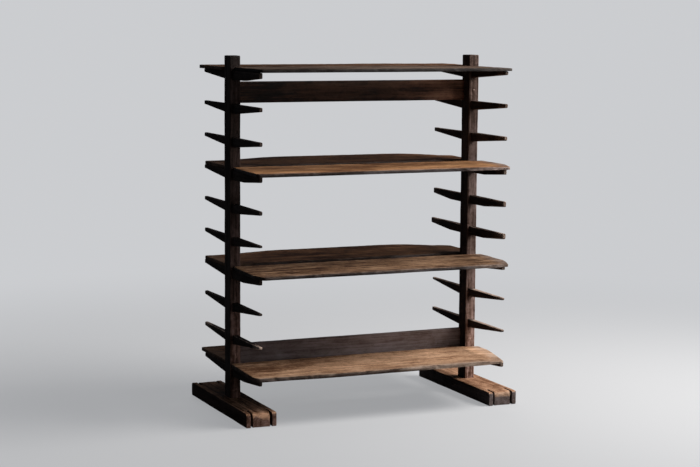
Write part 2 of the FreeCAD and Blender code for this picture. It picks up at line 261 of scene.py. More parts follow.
def spread(start, end, step, needed=()):
    """Places from start to end about a step apart, with the needed ones among them."""
    fixed = sorted({start, end, *needed})
    places = []
    for low, high in zip(fixed, fixed[1:]):
        count = max(1, round((high - low) / step))
        places += [low + (high - low) * index / count for index in range(count)]
    return places + [end]


def round_in(distance, radius):
    """How far a rounded end has drawn in at a distance from the end."""
    short = np.clip(radius - np.asarray(distance, float), 0, radius)
    return radius - np.sqrt(radius * radius - short * short)


def layers(points, parts, seed):
    """Sum of noises, each with its strength and size."""
    return sum(gain * noise(points, size, seed + number) for number, (gain, size) in enumerate(parts))


def ripple(places, waves, seed):
    """Sum of waves along a line, each from 0 to its depth."""
    return sum(depth * (line_noise(places, length, seed + number) + 1) / 2
               for number, (depth, length) in enumerate(waves))


# Meshes

END_RINGS = (0.82, 0.55, 0.25)    # sizes of the rings in a sawn end
END_MARKS = 0.011    # and the size of the marks in it


class Shell:
    """Points and faces of a piece, with the wear of every point, its share of the main colour and its painted
    light and shade.
    """

    def __init__(self):
        self.points = np.zeros((0, 3))
        self.wear = np.zeros(0)
        self.top = np.zeros(0)
        self.painted_shading = 1.0
        self.faces = []

    def add(self, points, wear=0.0, top=1.0):
        """Adds points of any array shape and gives back their indexes in the same shape."""
        shape = points.shape[:-1]
        count = int(np.prod(shape))
        first = len(self.points)
        self.points = np.concatenate([self.points, points.reshape(-1, 3)])
        self.wear = np.concatenate([self.wear, np.broadcast_to(wear, shape).reshape(-1)])
        self.top = np.concatenate([self.top, np.broadcast_to(top, shape).reshape(-1)])
        return np.arange(first, first + count).reshape(shape)

    def join(self, other):
        """Adds another shell's points and faces."""
        first = self.add(other.points, other.wear, other.top)[0]
        self.faces += [[int(first + i) for i in face] for face in other.faces]

    def sheet(self, index, open_mask=None):
        """Quads over a grid of point indexes, without those that the mask leaves open."""
        quads = np.stack([index[:-1, :-1], index[:-1, 1:], index[1:, 1:], index[1:, :-1]], axis=-1)
        if open_mask is not None:
            quads = quads[~open_mask]
        self.faces += quads.reshape(-1, 4).tolist()

    def tube(self, index, open_mask=None):
        """Quads over rows of closed loops."""
        self.sheet(np.column_stack([index, index[:, :1]]), open_mask)

    def band(self, first, second):
        """Quads between two closed loops of as many points."""
        self.tube(np.stack([first, second]))

    def cap(self, loop, outward, rough, seed, wear):
        """Closes a loop with rings towards its middle, uneven as a sawn end is."""
        middle = self.points[loop].mean(axis=0)
        for share in END_RINGS:
            ring = middle + (self.points[loop] - middle) * share
            ring = ring + np.asarray(outward) * (noise(ring, (END_MARKS,) * 3, seed) * rough)[:, None]
            inner = self.add(ring, wear)
            self.band(loop, inner)
            loop = inner
        centre = self.add(middle[None], wear)[0]
        for here, after in zip(loop, np.roll(loop, -1)):
            self.faces.append([int(here), int(after), int(centre)])


def border(grid):
    """Indexes round the edge of a grid, in order."""
    return np.concatenate([grid[0, :-1], grid[:-1, -1], grid[-1, :0:-1], grid[:0:-1, 0]])


def link(name, data):
    """Object of some data, put in the scene."""
    thing = bpy.data.objects.new(name, data)
    bpy.context.scene.collection.objects.link(thing)
    return thing


def make_mesh(name, shell, axes, pith):
    """Mesh of a shell. Its grain runs along the first of the axes, round a pith given in the rack's frame."""
    used = np.unique(list(itertools.chain.from_iterable(shell.faces)))
    place = np.zeros(len(shell.points), int)
    place[used] = np.arange(len(used))
    mesh = bpy.data.meshes.new(name)
    mesh.from_pydata(shell.points[used].tolist(), [], [[int(place[i]) for i in f] for f in shell.faces])
    work = bmesh.new()
    work.from_mesh(mesh)
    bmesh.ops.recalc_face_normals(work, faces=work.faces)
    work.to_mesh(mesh)
    work.free()
    grain = (shell.points[used] - np.asarray(pith))[:, list(axes)]
    mesh.attributes.new("grain", "FLOAT_VECTOR", "POINT").data.foreach_set("vector", grain.ravel())
    # Painted light and shade: the fades and the shell's own factor lighten or darken the main colour
    painted_shading = np.ones(len(shell.points))
    for painted_fade in PAINTED_LIGHT_FADES.get(name, []):
        painted_shading *= np.interp(shell.points[:, painted_fade.axis], painted_fade.places, painted_fade.shares)
    painted_shading = (1 + (painted_shading - 1) * shell.top) * shell.painted_shading
    for kind, values in (("wear", shell.wear), ("top", shell.top), ("painted_shading", painted_shading)):
        mesh.attributes.new(kind, "FLOAT", "POINT").data.foreach_set("value", values[used])
    mesh.shade_smooth()
    mesh.set_sharp_from_angle(angle=SHARP_ANGLE)
    return mesh


def add_piece(name, mesh, material, body, slot, *nodes):
    """Piece of the rack that rides on a body in the place of nodes."""
    piece = link(name, mesh)
    mesh.materials.append(material)
    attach(piece, body)
    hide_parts(*nodes)


# Squared timbers built of rings along their length

Ring = namedtuple("Ring", "core turn side place wear")
Row = namedtuple("Row", "along centre half edge")
Hole = namedtuple("Hole", "side shares ends depth")
CORNER_ANGLES = (math.radians(30), math.radians(60))
NORMALS = ((0, -1), (1, 0), (0, 1), (-1, 0))
FRONT, RIGHT, REAR, LEFT = range(4)


def make_ring(across, deep):
    """Section with rounded corners. Across and deep hold shares, from -1 to 1, of its half sizes."""
    rows = []
    for side, (nx, ny) in enumerate(NORMALS):
        tx, ty = -ny, nx
        shares = across if side in (FRONT, REAR) else deep
        flip = 1 if side in (FRONT, RIGHT) else -1
        for share in sorted(flip * value for value in shares):
            near = 1 - abs(share)
            wear = 0.6 if near < 0.01 else 0.25 * math.exp(-near / 0.12)
            rows.append((nx + tx * share, ny + ty * share, nx, ny, side, flip * share, wear))
        for angle in CORNER_ANGLES:
            c, s = math.cos(angle), math.sin(angle)
            rows.append((nx + tx, ny + ty, nx * c + tx * s, ny * c + ty * s, -1, 0, 1.0))
    table = np.array(rows)
    return Ring(table[:, 0:2], table[:, 2:4], table[:, 4].astype(int), table[:, 5], table[:, 6])


class Timber:
    """Rings of points along a timber, in the rack's frame, and the holes cut in its sides."""

    def __init__(self, ring, rows, axes):
        self.ring, self.axes = ring, axes
        self.along = np.array([row.along for row in rows])
        centre = np.array([row.centre for row in rows])[:, None]
        half = np.array([row.half for row in rows])[:, None]
        edge = np.array([row.edge for row in rows])[:, None, None]
        flat = centre + ring.core * (half - edge) + ring.turn * edge
        self.points = self.in_frame(flat, self.along)
        self.out = self.in_frame(np.broadcast_to(ring.turn, flat.shape), 0 * self.along)
        self.open = np.zeros((len(rows) - 1, len(ring.side)), bool)
        self.holes = []

    def in_frame(self, flat, along):
        points = np.empty(flat.shape[:2] + (3,))
        points[..., self.axes[0]] = along[:, None]
        points[..., self.axes[1]] = flat[..., 0]
        points[..., self.axes[2]] = flat[..., 1]
        return points

    def window(self, side, shares, ends):
        """Opens one side between two shares of its half width and two places along the timber."""
        slack = 1e-6
        rows = np.flatnonzero((self.along > ends[0] - slack) & (self.along < ends[1] + slack))
        fits = (self.ring.place > shares[0] - slack) & (self.ring.place < shares[1] + slack)
        columns = np.flatnonzero((self.ring.side == side) & fits)
        self.open[rows[0]:rows[-1], columns[0]:columns[-1]] = True
        if side in (REAR, LEFT):
            columns = columns[::-1]
        return np.ix_(rows, columns)

    def cut(self, hole):
        """Hole from one side, through to the opposite one if it has no depth."""
        near = self.window(hole.side, hole.shares, hole.ends)
        far = None if hole.depth else self.window(hole.side + 2, hole.shares, hole.ends)
        self.holes.append((near, far, hole.depth))

    def to_shell(self, wear, end_rough, seed, top=1.0):
        """Shell of the timber with its holes, and rough ends."""
        shell = Shell()
        index = shell.add(self.points, wear, top)
        shell.tube(index, self.open)
        for near, far, depth in self.holes:
            loop = border(index[near])
            if far is None:
                inward = -self.out[near].reshape(-1, 3)[0] * depth
                floor = shell.add(shell.points[loop] + inward, 0)
                shell.faces.append(floor.tolist())
            else:
                floor = border(index[far])
            shell.band(loop, floor)
        outward = np.zeros(3)
        outward[self.axes[0]] = 1
        shell.cap(index[0], -outward, end_rough, seed, wear[0].mean())
        shell.cap(index[-1], outward, end_rough, seed + 1, wear[-1].mean())
        return shell


LONG_MARKS = (0.21, 0.027, 0.027)    # sizes of a hewn timber's flats along, across and through it
FIBRE_MARKS = (0.055, 0.007, 0.007)
EDGE_DENTS = (0.10, 0.05, 0.05)
NICKS = 0.22    # size of the nicks, as a share of the dents


def in_axes(sizes, axes):
    """Sizes along, across and through a timber, in the order X, Y, Z."""
    turned = np.empty(3)
    turned[list(axes)] = sizes
    return turned


def hew(timber, free, depth, worn, wear_seed, mark_seed):
    """Tool marks and worn edges where a timber is free. Gives back how worn its points are."""
    size = in_axes(EDGE_DENTS, timber.axes)
    dents = noise(timber.points, size, wear_seed)
    nicks = noise(timber.points, size * NICKS, wear_seed + 1)
    wear = timber.ring.wear * np.clip(0.42 + 0.55 * dents + 0.35 * nicks, 0, 1.2) * free
    parts = ((0.75, in_axes(LONG_MARKS, timber.axes)), (0.35, in_axes(FIBRE_MARKS, timber.axes)))
    marks = np.clip(layers(timber.points, parts, mark_seed), -1, 1) / 2 - 0.5
    timber.points += timber.out * (free * depth * marks - worn * wear)[..., None]
    return wear


# Posts

def with_cracks(places):
    """Places of cracks with the places of both their edges."""
    return [place + offset for place in places for offset in (-CRACK_HALF_WIDTH, 0, CRACK_HALF_WIDTH)]


def push_cracks(timber, side, places, half, seed):
    """Opens drying cracks along a side: the middle points of each go in, where the noise lets them."""
    for number, place in enumerate(places):
        columns = np.flatnonzero(timber.ring.side == side)
        middle = columns[np.argmin(abs(timber.ring.place[columns] * half - place))]
        rise = line_noise(timber.along, CRACK_RUN, seed + 7 * number)
        drift = line_noise(timber.along, CRACK_WANDER_RUN, seed + 7 * number + 3) * CRACK_WANDER
        depth = CRACK_DEPTH * ease(rise, 0.05, 0.75)
        across = timber.axes[1] if side in (FRONT, REAR) else timber.axes[2]
        timber.points[:, middle - 1:middle + 2, across] += drift[:, None]
        timber.points[:, middle] -= timber.out[:, middle] * depth[:, None]


def rail_peg_length():
    """From the head of a rail peg to the front of the tenon behind it."""
    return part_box(RAILS[0])[0].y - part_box("rail_pegs")[0].y


def make_post(side, material, seed):
    """Hewn post with mortises for the arms and rails, holes for the pegs and a tenon in its foot."""
    node = f"{side}_post"
    low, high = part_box(f"{side}_post")
    half_x, half_y = (high.x - low.x) / 2, (high.y - low.y) / 2
    foot_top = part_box(f"{side}_foot")[1].z
    centre = ((low.x + high.x) / 2, (low.y + high.y) / 2)
    flat_x, flat_y = half_x - POST_EDGE, half_y - POST_EDGE
    arms = [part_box(f"{side}_arm_{level}") for level in ARM_LEVELS]
    rails = [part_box(rail) for rail in RAILS]
    arm_half = (arms[0][1].x - arms[0][0].x) / 2 + FIT
    tenon = (rails[0][0].y - FIT - centre[1], rails[0][0].y + RAIL_TENON_THICKNESS + FIT - centre[1])
    peg_share = (FOOT_PEG_RADIUS + FIT) / (POST_TENON_HALF[1] - FIT)
    across = [-arm_half, arm_half, -RAIL_PEG_HALF, RAIL_PEG_HALF, *with_cracks(POST_CRACKS)]
    deep = [*tenon, -peg_share * flat_y, peg_share * flat_y, *with_cracks(SIDE_CRACKS)]
    ring = make_ring([place / flat_x for place in spread(-flat_x, flat_x, POST_FRONT_STEP, across)],
                     [place / flat_y for place in spread(-flat_y, flat_y, POST_SIDE_STEP, deep)])
    # Holes for the arms, for the rails and their pegs, and for the foot's peg
    arm_shares = (-arm_half / flat_x, arm_half / flat_x)
    holes = [Hole(FRONT, arm_shares, (box_low.z, box_high.z + FIT), None) for box_low, box_high in arms]
    inner = RIGHT if side == "left" else LEFT
    tenon_shares = (tenon[0] / flat_y, tenon[1] / flat_y)
    peg_shares = (-RAIL_PEG_HALF / flat_x, RAIL_PEG_HALF / flat_x)
    for box_low, box_high in rails:
        level = (box_low.z + box_high.z) / 2
        ends = (box_low.z + RAIL_TENON_SHOULDER - FIT, box_high.z - RAIL_TENON_SHOULDER + FIT)
        holes.append(Hole(inner, tenon_shares, ends, RAIL_TENON_LENGTH + MORTISE_END))
        ends = (level - RAIL_PEG_HALF, level + RAIL_PEG_HALF)
        holes.append(Hole(FRONT, peg_shares, ends, rail_peg_length() + FIT))
    needed = [end for hole in holes for end in hole.ends]
    foot_peg = (FOOT_PEG_HEIGHT - FOOT_PEG_RADIUS - FIT, FOOT_PEG_HEIGHT + FOOT_PEG_RADIUS + FIT)
    holes.append(Hole(RIGHT, (-peg_share, peg_share), foot_peg, None))
    # Rings of the tenon, of the shaft and of the rounded top
    rows = [Row(z, centre, POST_TENON_HALF, FIT)
            for z in spread(POST_TENON_END, foot_top, POST_TENON_STEP, foot_peg)]
    for z in spread(foot_top, high.z, POST_STEP, needed):
        inset = float(round_in(high.z - z, POST_TOP_ROUND))
        rows.append(Row(z, centre, (half_x - inset, half_y - inset), POST_EDGE))
    for rise in POST_TOP_RINGS:
        half = (half_x - rise / 4, half_y - rise / 4)
        rows.insert(len(rows) - 1, Row(high.z - POST_TOP_ROUND + rise, centre, half, POST_EDGE))
    timber = Timber(ring, rows, (2, 0, 1))
    shaft = ease(timber.points[..., 2], foot_top - FIT, foot_top + FIT)
    wear = hew(timber, shaft, POST_HEW, POST_WEAR, seed + 5, seed)
    for number, face in enumerate((FRONT, REAR, LEFT, RIGHT)):
        places, flat = (POST_CRACKS, flat_x) if face in (FRONT, REAR) else (SIDE_CRACKS, flat_y)
        push_cracks(timber, face, places, flat, seed + 11 + 20 * number)
    for hole in holes:
        timber.cut(hole)
    # Painted shade: the faces turned away from the light take the dark edge colour
    shaded_side = ease(-timber.out[..., 0], 0.6, 0.95)
    shell = timber.to_shell(wear, POST_ROUGH, seed + 90, 1 - shaded_side)
    mesh = make_mesh(node, shell, timber.axes, (centre[0] + 0.02, centre[1] + 0.05, -1.3 * seed))
    add_piece(f"{node}.timber", mesh, material, "frame", "post_timber", node)


# Arms

def make_arm(side, level, material, seed):
    """Tapered arm: level on top, rising below to both tips, full where it passes the post."""
    node = f"{side}_arm_{level}"
    low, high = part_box(node)
    front_end, rear_end = FRONT_ENDS[side][level - 1], REAR_ENDS[side][level - 1]
    post_low, post_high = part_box(f"{side}_post")
    depth = high.z - low.z
    full_half = (high.x - low.x) / 2
    middle = (low.x + high.x) / 2
    needed = [post_low.y, post_high.y, post_low.y - front_end.full_run, post_high.y + rear_end.full_run]
    needed += [low.y + end for end in ARM_TIP_RINGS] + [high.y - end for end in ARM_TIP_RINGS]
    rows = []
    for y in spread(low.y, high.y, ARM_STEP, needed):
        reach, shape = (low.y, front_end) if y < 0 else (high.y, rear_end)
        belly = post_high.y + shape.full_run
        past_post = max(0.0, (abs(y) - post_high.y) / (abs(reach) - post_high.y))
        past_belly = max(0.0, (abs(y) - belly) / (abs(reach) - belly))
        half = full_half + (ARM_TIP_HALF - full_half) * past_post
        inset = float(round_in(abs(reach) - abs(y), ARM_TIP_ROUND))
        top = high.z - ARM_TIP_TOP * inset
        bottom = high.z - depth + (depth - shape.tip_depth) * past_belly + inset
        edge = FIT if past_post == 0 else ARM_EDGE
        size = (half - ARM_TIP_SIDE * inset, (top - bottom) / 2)
        rows.append(Row(y, (middle, (top + bottom) / 2), size, edge))
    ring = make_ring((-1, -0.5, 0, 0.5, 1), (-1, -0.6, -0.2, 0.2, 0.6, 1))
    timber = Timber(ring, rows, (1, 0, 2))
    from_middle = abs(timber.points[..., 1])
    free = ease(from_middle, *(post_high.y + run for run in ARM_FREE))
    tip = ease(from_middle, *ARM_TIP_RUN)
    wear = hew(timber, free, ARM_HEW, ARM_WEAR * (0.35 + 0.65 * tip), seed, seed + 3)
    wear = wear + ARM_TIP_WEAR * tip * free
    if (side, level) in RUBBED_TOPS:
        upward = ease(timber.out[..., 2], 0.4, 0.8)
        wear = np.maximum(wear, upward * ease(-timber.points[..., 1], *RUBBED_FROM))
    shell = timber.to_shell(np.clip(wear, 0, 1), ARM_ROUGH, seed + 9)
    pith = (middle + 0.03, -0.9 * seed, (low.z + high.z) / 2 - 0.04)
    mesh = make_mesh(node, shell, timber.axes, pith)
    add_piece(f"{node}.timber", mesh, material, "frame", "arm_timber", node)


# Rails

def make_rail(node, material, seed):
    """Rail with a tenon at each end, level with its front."""
    low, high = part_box(node)
    shoulders = [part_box("left_post")[1].x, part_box("right_post")[0].x]
    centre = ((low.y + high.y) / 2, (low.z + high.z) / 2)
    half = ((high.y - low.y) / 2, (high.z - low.z) / 2)
    tenon_centre = (low.y + RAIL_TENON_THICKNESS / 2, centre[1])
    tenon_half = (RAIL_TENON_THICKNESS / 2, half[1] - RAIL_TENON_SHOULDER)
    rows = [Row(x, tenon_centre, tenon_half, FIT) for x in (low.x, shoulders[0])]
    rows += [Row(x, centre, half, RAIL_EDGE) for x in spread(*shoulders, RAIL_STEP)]
    rows += [Row(x, tenon_centre, tenon_half, FIT) for x in (shoulders[1], high.x)]
    timber = Timber(make_ring((-1, -0.4, 0.4, 1), spread(-1.0, 1.0, RAIL_RING_STEP)), rows, (0, 1, 2))
    free = np.zeros(timber.points.shape[:2])
    free[2:-2] = 1
    free[2] = free[-3] = SHOULDER_HEW
    wear = hew(timber, free, RAIL_HEW, RAIL_WEAR, seed, seed + 3)
    shell = timber.to_shell(wear, RAIL_ROUGH, seed + 9)
    mesh = make_mesh(node, shell, timber.axes, (-1.7 * seed, centre[0] + 0.055, centre[1] - 0.018))
    add_piece(f"{node}.timber", mesh, material, "frame", f"{node}_timber", node)


# Pegs: places from the head, how much thinner they are there, and the wear of square and round ones
RAIL_PEG_PLACES = (0.0, 0.0006, 0.0015, 0.004)
RAIL_PEG_SHRINK = (0.0022, 0.0009, 0.0002, 0.0, 0.0012)
RAIL_PEG_WEAR = np.array((0.6, 0.4, 0.2, 0.0, 0.0))
RAIL_PEG_EDGE = 0.0012
FOOT_PEG_PLACES = (0.0, 0.0005, 0.0015)
FOOT_PEG_SHRINK = (0.0016, 0.0006, 0.0)
FOOT_PEG_WEAR = 0.3
FOOT_PEG_SIDES = 18


def make_rail_pegs(side, material, seed):
    """Square whittled pegs with worn heads, driven from the front of one post."""
    shell = Shell()
    post_low, post_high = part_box(f"{side}_post")
    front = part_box("rail_pegs")[0].y
    half = RAIL_PEG_HALF - FIT
    for number, rail in enumerate(RAILS):
        rail_low, rail_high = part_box(rail)
        centre = ((post_low.x + post_high.x) / 2, (rail_low.z + rail_high.z) / 2)
        rows = [Row(front + place, centre, (half - less, half - less), RAIL_PEG_EDGE)
                for place, less in zip((*RAIL_PEG_PLACES, rail_peg_length()), RAIL_PEG_SHRINK)]
        timber = Timber(make_ring((-1, 0, 1), (-1, 0, 1)), rows, (1, 0, 2))
        wear = np.broadcast_to(RAIL_PEG_WEAR[:, None], timber.points.shape[:2])
        shell.join(timber.to_shell(wear, PEG_ROUGH, seed + number))
    mesh = make_mesh(f"{side}_rail_pegs", shell, (1, 0, 2), (0.004, -2.1, 0.003))
    add_piece(f"rail_pegs.{side}", mesh, material, "frame", "peg_timber", "rail_pegs")


def make_foot_pegs(material, seed):
    """Round pegs across the feet, through the tenons of the posts."""
    shell = Shell()
    turns = np.linspace(0, 2 * math.pi, FOOT_PEG_SIDES, endpoint=False)
    circle = np.stack([np.cos(turns), np.sin(turns)], axis=-1)
    radii = FOOT_PEG_RADIUS - np.array(FOOT_PEG_SHRINK + FOOT_PEG_SHRINK[::-1]) - FIT
    for number, side in enumerate(SIDES):
        low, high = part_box(f"{side}_foot")
        places = [low.x + place for place in FOOT_PEG_PLACES]
        places += [high.x - place for place in FOOT_PEG_PLACES[::-1]]
        points = np.zeros((len(places), len(turns), 3))
        points[..., 0] = np.array(places)[:, None]
        points[..., 1:] = circle * radii[:, None, None] + np.array([(low.y + high.y) / 2, FOOT_PEG_HEIGHT])
        peg = Shell()
        index = peg.add(points, FOOT_PEG_WEAR)
        peg.tube(index)
        peg.cap(index[0], (-1, 0, 0), PEG_ROUGH, seed + number, FOOT_PEG_WEAR)
        peg.cap(index[-1], (1, 0, 0), PEG_ROUGH, seed + number + 5, FOOT_PEG_WEAR)
        shell.join(peg)
    mesh = make_mesh("foot_pegs", shell, (0, 1, 2), (-3.0, 0.005, 0.03))
    add_piece("foot_pegs.timber", mesh, material, "frame", "peg_timber", "foot_pegs")


# Boards

RimRow = namedtuple("RimRow", "share height broken wear top fray")
THIN_RUN = 0.13    # how far the thinning of a right end reaches, and of a left one
LEFT_THIN_RUN = 0.12
CUP_RIGHT = (0.04, 0.38)    # where the cupping grows, from the right end and from the left one
CUP_LEFT = (0.06, 0.22)
UNEVEN = 0.0008    # unevenness of the upper face, and of the lower one
UNDER_UNEVEN = 0.0003
CORNER_BOW = 1.15    # power that bows a worn corner
SLOPE_RUN = 0.42    # how far the slope of the outer edge reaches from the left end
EDGE_REACH = 0.16    # how far the waves of the outer edge reach in, and those of the ends
END_REACH = 0.06
LEFT_WAVE, RIGHT_WAVE = 0.5, 0.6    # shares of the waves at the ends
END_CRACK_DEPTH = 0.8 * CRACK_DEPTH
END_CRACK_RUN = 0.10    # length of the shortest end crack, and how much longer others are
END_CRACK_MORE = 0.22
END_CRACK_WANDER = 0.003
RUBBED_END_RUN = 0.11    # how far the wear of a right end reaches
RUBBED_STRIP = (0.005, 0.075)    # where the wear along the outer edge fades
Rounding = namedtuple("Rounding", "plain uneven chipped")
RIM_DROP = Rounding(0.0022, 0.0012, 0.0036)    # of a rim's upper edge, and of its lower one
RIM_LIFT = Rounding(0.0012, 0.0006, 0.0038)


def worn_corner(from_outer, along_end, along_edge):
    """How far a worn corner draws an end in at distances from the outer edge."""
    return along_edge * np.clip(1 - from_outer / along_end, 0, 1) ** CORNER_BOW


def board_span(y, left, right, outer, inner, shape):
    """Both ends of a board at places y across it."""
    from_outer, from_inner = y - outer, inner - y
    radius = BOARD_CORNER - BOARD_INSET
    lean = shape.lean * from_outer / (inner - outer)
    left_end = left + BOARD_INSET + lean + worn_corner(from_outer, shape.left_end, shape.left_edge)
    right_end = right - BOARD_INSET - worn_corner(from_outer, shape.right_end, shape.right_edge)
    left_end = left_end + shape.stretch * round_in(from_outer, shape.rounding) + round_in(from_inner, radius)
    right_end = right_end - round_in(from_outer, TIP_ROUND) - round_in(from_inner, radius)
    return left_end, right_end


def board_grid(plain, worn, outer, inner, cracks, shape, seed):
    """Points over a board with its wavy edge and uneven ends, its rows, and distances from both ends."""
    needed = [outer + place for place in EDGE_ROWS] + [inner - place for place in EDGE_ROWS[:3]]
    y = np.array(spread(outer, inner, BOARD_ROW, needed + with_cracks(cracks)))
    length = worn - plain
    fine = [end / length for end in END_COLUMNS] + [1 - end / length for end in END_COLUMNS]
    u = np.array(spread(0.0, 1.0, BOARD_STEP / length, fine))
    left, right = board_span(y, plain, worn, outer, inner, shape)
    grid = np.zeros((len(y), len(u), 3))
    grid[..., 0] = left[:, None] + (right - left)[:, None] * u
    grid[..., 1] = y[:, None]
    from_left, from_right = grid[..., 0] - left[:, None], right[:, None] - grid[..., 0]
    wave = ripple(grid[..., 0], EDGE_WAVES, seed) * (0.4 + shape.chipping)
    slope = shape.slope * (1 - ease(from_left, 0, SLOPE_RUN))
    grid[..., 1] += (wave + slope) * (1 - ease(grid[..., 1] - outer, 0, EDGE_REACH))
    end_wave = ripple(y, END_WAVES, seed + 2)
    grid[..., 0] += LEFT_WAVE * end_wave[:, None] * (1 - ease(from_left, 0, END_REACH))
    grid[..., 0] -= RIGHT_WAVE * end_wave[::-1, None] * (1 - ease(from_right, 0, END_REACH))
    return grid, y, from_left, from_right


def add_rim(shell, loop, lower_loop, worn, shape, seed):
    """Worn and chipped rim from the upper face of a board round to the lower one."""
    rim = shell.points[loop]
    ahead = np.roll(rim, -1, axis=0) - np.roll(rim, 1, axis=0)
    out = np.stack([ahead[:, 1], -ahead[:, 0], 0 * ahead[:, 0]], axis=-1)
    out /= np.linalg.norm(out, axis=1)[:, None]
    outer_side = ease(-out[:, 1], 0.3, 0.8)
    ragged = (0.25 + 0.75 * outer_side) * shape.chipping
    chip = ease(layers(rim, RIM_CHIPS, seed + 8), 0.25, 0.9) * ragged
    low_chip = ease(noise(rim, (0.045, 0.05, 1), seed + 10), 0.3, 0.9) * ragged
    drop = RIM_DROP.plain + RIM_DROP.uneven * noise(rim, (0.10, 0.10, 1), seed + 6) + RIM_DROP.chipped * chip
    lift = RIM_LIFT.plain + RIM_LIFT.uneven * noise(rim, (0.07, 0.07, 1), seed + 7)
    lift += RIM_LIFT.chipped * low_chip
    fray = ease(noise(rim, (0.06, 0.05, 1), seed + 15), -0.2, 0.5)
    fray = fray * outer_side * min(1.0, 0.65 * shape.chipping)
    over, under = rim[:, 2], shell.points[lower_loop, 2]
    middle = (over - drop + under + lift) / 2
    end_rub = RUBBED_END * ease(rim[:, 0], worn - shape.rub, worn - 0.3 * shape.rub)
    profile = (
        RimRow(0.50, over - 0.12 * drop, 0.6 * chip, 0.20, 0.90, 0.9),
        RimRow(0.84, over - 0.42 * drop, 0.8 * chip, 0.40, 0.45, 0.9),
        RimRow(1.00, over - 1.00 * drop, 0.9 * chip, 0.35, 0.05, 0.9),
        RimRow(1.00, middle, 0.5 * chip + 0.5 * low_chip, 0.10, 0.0, 0.6),
        RimRow(1.00, under + lift, low_chip, 0.15, 0.0, 0.1),
        RimRow(0.86, under + 0.35 * lift, 0.9 * low_chip, 0.10, 0.0, 0.0),
        RimRow(0.62, under + 0.05 * lift, 0.9 * low_chip, 0.0, 0.0, 0.0),
    )
    for row in profile:
        ring = rim + out * (BOARD_INSET * row.share * (1 - row.broken))[:, None]
        ring[:, 2] = row.height
        wear = np.maximum(np.maximum(row.wear, end_rub), row.fray * fray)
        here = shell.add(ring, wear, row.top)
        shell.band(loop, here)
        loop = here
    shell.band(loop, lower_loop)


def make_board(body, shape, turned, material, seed):
    """Loose board with a waney outer edge, worn corners, rounded rims and end cracks.

    It is built as a board in front of the posts, and a turned one is then turned round to lie behind.
    """
    node = f"{body}_board"
    low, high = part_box(node)
    turn = -1 if turned else 1
    plain, worn = sorted((turn * low.x, turn * high.x))
    outer, inner = sorted((turn * low.y, turn * high.y))
    outer_line, inner_line = outer + BOARD_INSET, inner - BOARD_INSET
    width = inner_line - outer_line
    cracks = [outer_line + share * width for share in CRACK_SHARES]
    grid, y, from_left, from_right = board_grid(plain, worn, outer_line, inner_line, cracks, shape, seed)
    # Upper and lower face
    lower = grid.copy()
    relief = layers(grid, BOARD_RELIEF, seed + 12)
    thin = shape.thin * (1 - ease(from_right, 0, THIN_RUN))
    grid[..., 2] = high.z - UNEVEN + UNEVEN * noise(grid, (0.28, 0.06, 1), seed + 4)
    grid[..., 2] += shape.relief * np.clip(relief - 0.6, -1.3, 0) - thin
    under = noise(grid, (0.20, 0.05, 1), seed + 5)
    cup = shape.cup * np.clip((inner_line - grid[..., 1]) / width, 0, 1) ** 2
    cup *= ease(from_right, *CUP_RIGHT) * ease(from_left, *CUP_LEFT)
    grid[..., 2] += cup - shape.left_thin * (1 - ease(from_left, 0, LEFT_THIN_RUN))
    lower[..., 2] = low.z + UNDER_UNEVEN + UNDER_UNEVEN * under + 0.3 * thin + cup
    # End cracks along the grain
    for number, place in enumerate(cracks):
        row = np.argmin(abs(y - place))
        x = grid[row, :, 0]
        run = END_CRACK_RUN + END_CRACK_MORE * lattice(np.array([number, 1, 2]), seed)
        from_end = worn - x if number % 2 else x - plain
        grid[row - 1:row + 2, :, 1] += END_CRACK_WANDER * line_noise(x, 0.10, seed + 20 + number)
        grid[row, :, 2] -= END_CRACK_DEPTH * np.clip(1 - from_end / run, 0, 1)
    rubbed = np.maximum(RUBBED_END * (1 - ease(from_right, 0, RUBBED_END_RUN)),
                        RUBBED_EDGE * (1 - ease(grid[..., 1] - outer_line, *RUBBED_STRIP)))
    rubbed *= 0.8 + 0.4 * noise(grid, (0.05, 0.03, 1), seed + 14)
    shell = Shell()
    upper_index = shell.add(grid, rubbed, 1)
    lower_index = shell.add(lower, 0, 0)
    shell.sheet(upper_index)
    shell.sheet(lower_index)
    add_rim(shell, border(upper_index), border(lower_index), worn, shape, seed)
    shell.points[:, :2] *= turn
    pith = (-2.3 * seed, turn * (outer + inner) / 2 + 0.06 * math.sin(seed), (high.z + low.z) / 2 - 0.075)
    mesh = make_mesh(node, shell, (0, 1, 2), pith)
    slot = "rear_board_timber" if turned else "front_board_timber"
    add_piece(f"{node}.timber", mesh, material, body, slot, node)


# Feet

ROD_SIDES = 24
CUT_BEYOND = 0.01    # how far the cutters reach past the faces


def prism(base, roof):
    """Temporary closed object between two loops of as many points."""
    count = len(base)
    faces = [tuple(range(count))[::-1], tuple(range(count, 2 * count))]
    for here in range(count):
        after = (here + 1) % count
        faces.append((here, after, count + after, count + here))
    mesh = bpy.data.meshes.new("prism")
    mesh.from_pydata([*base, *roof], [], faces)
    return link("prism", mesh)


def block(low, high):
    """Temporary block between two corners."""
    corners = ((low[0], low[1]), (high[0], low[1]), (high[0], high[1]), (low[0], high[1]))
    return prism(*([(x, y, z) for x, y in corners] for z in (low[2], high[2])))


def rod(start, end, radius):
    """Temporary round rod between two points."""
    start, end = Vector(start), Vector(end)
    spin = (end - start).to_track_quat("Z", "Y").to_matrix()
    turns = [2 * math.pi * number / ROD_SIDES for number in range(ROD_SIDES)]
    circle = [spin @ Vector((math.cos(turn), math.sin(turn), 0)) * radius for turn in turns]
    return prism(*([middle + spoke for spoke in circle] for middle in (start, end)))


